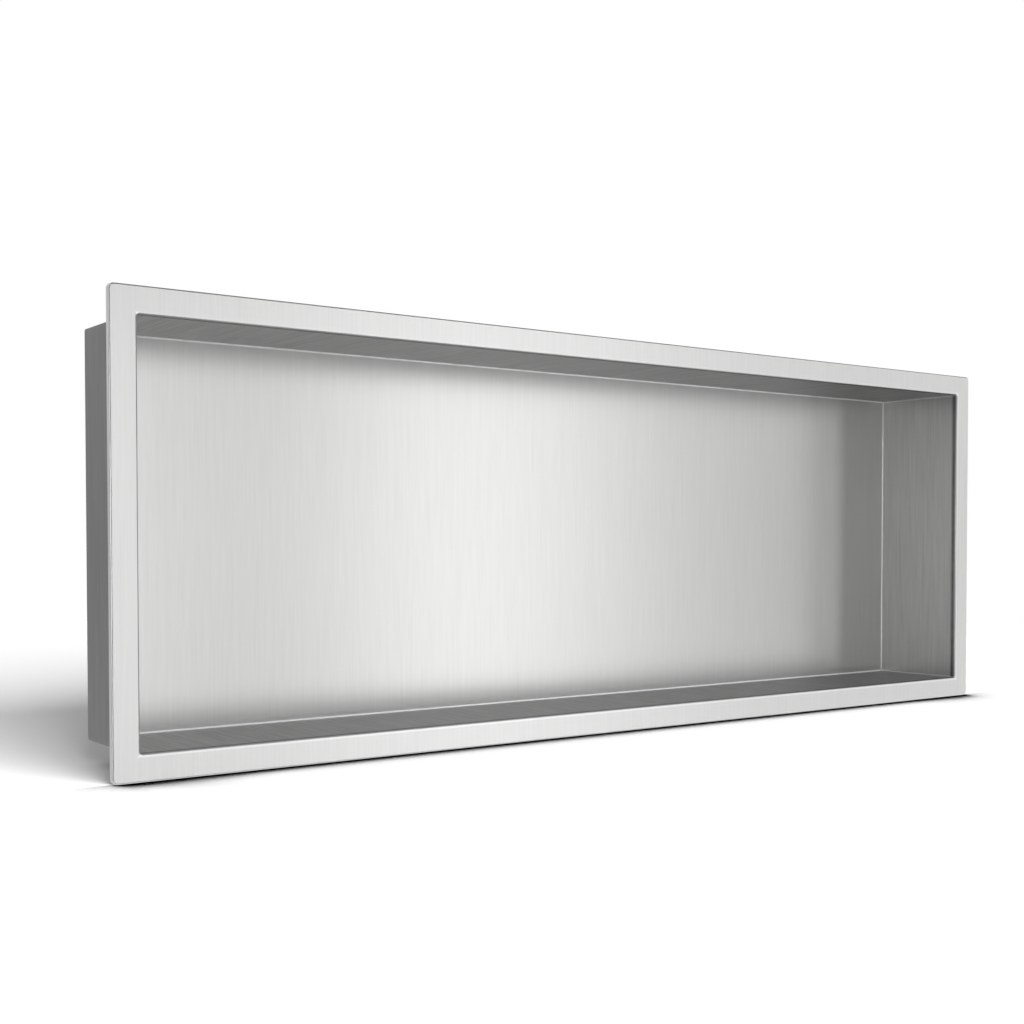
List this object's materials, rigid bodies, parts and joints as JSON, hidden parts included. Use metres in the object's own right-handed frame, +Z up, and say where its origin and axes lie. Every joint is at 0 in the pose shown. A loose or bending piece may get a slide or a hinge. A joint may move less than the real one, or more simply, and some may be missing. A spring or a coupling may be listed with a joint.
{
  "type": "shower niche insert",
  "caption": "Wide open-fronted brushed stainless tray that fits in a wall cut-out, with a flat flange and a short return lip round its opening.",
  "frame": {"origin": "centre of the opening, in the plane of the finished wall, where the return lip's rear edge seats", "axes": "+X along the width, +Y into the wall, +Z up; the flange faces -Y"},
  "size_m": [0.9144, 0.0968, 0.3302],
  "materials": {
    "brushed_stainless": "satin brushed 304 stainless steel; the grain runs up and down on the back, the side walls and the flange, and front to back on the top and bottom walls"
  },
  "bodies": {
    "root": {"niche_body": "brushed_stainless"}
  },
  "joints": []
}
